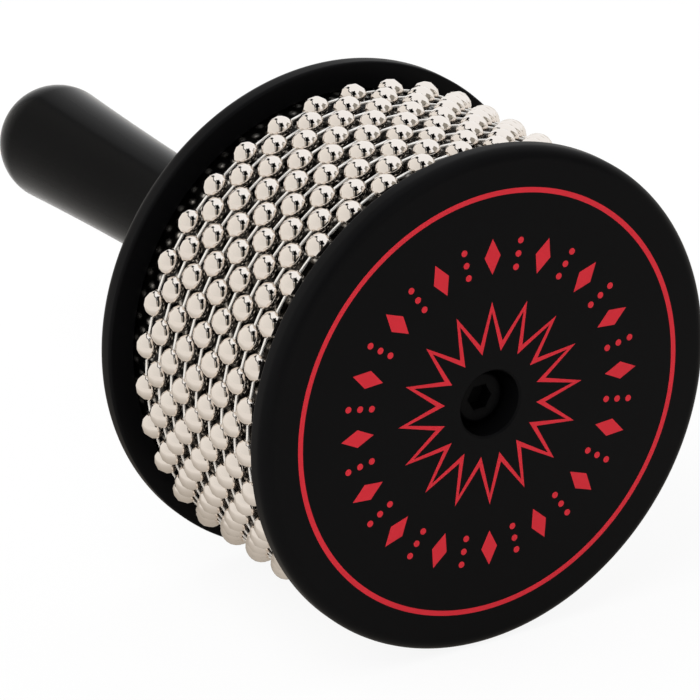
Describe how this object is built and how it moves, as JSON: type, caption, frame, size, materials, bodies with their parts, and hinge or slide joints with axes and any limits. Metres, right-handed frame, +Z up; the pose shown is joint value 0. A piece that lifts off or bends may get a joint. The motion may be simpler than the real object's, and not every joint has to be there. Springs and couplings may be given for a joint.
{
  "type": "cabasa",
  "caption": "Hand percussion drum: loops of steel bead chain turn on an embossed steel sleeve clamped between two round black discs, on a rounded black handle.",
  "frame": {"origin": "on the floor, below the middle of the instrument's bounding box, as it lies on the rims of its two discs", "axes": "+Y along the drum's axis, from the front face to the tip of the handle; +Z up; +X across"},
  "size_m": [0.13, 0.2276, 0.13],
  "materials": {
    "black_disc": "satin moulded black plastic with a red printed ring on the front",
    "black_grip": "satin black",
    "steel_sleeve": "embossed stainless sheet",
    "nickel_beads": "polished nickel plating",
    "steel_pins": "drawn steel wire",
    "beech_core": "turned, unfinished",
    "black_bolt": "black oxide",
    "brass_insert": "turned"
  },
  "bodies": {
    "drum": {"front_disc": "black_disc", "back_disc": "black_disc", "drum_core": "beech_core", "texture_sleeve": "steel_sleeve", "handle": "black_grip", "tie_bolt": "black_bolt", "bolt_washer": "black_bolt", "handle_insert": "brass_insert"},
    "bead_chains": {"bead_loop_1": "nickel_beads", "bead_loop_2": "nickel_beads", "bead_loop_3": "nickel_beads", "bead_loop_4": "nickel_beads", "bead_loop_5": "nickel_beads", "bead_loop_6": "nickel_beads", "bead_loop_7": "nickel_beads", "bead_loop_8": "nickel_beads", "bead_loop_9": "nickel_beads", "link_pins_1": "steel_pins", "link_pins_2": "steel_pins", "link_pins_3": "steel_pins", "link_pins_4": "steel_pins", "link_pins_5": "steel_pins", "link_pins_6": "steel_pins", "link_pins_7": "steel_pins", "link_pins_8": "steel_pins", "link_pins_9": "steel_pins"}
  },
  "joints": [
    {"name": "chain_spin", "type": "hinge", "parent": "drum", "child": "bead_chains", "pos_m": [0, -0.06, 0.065], "axis": [0, 1, 0], "continuous": true}
  ]
}
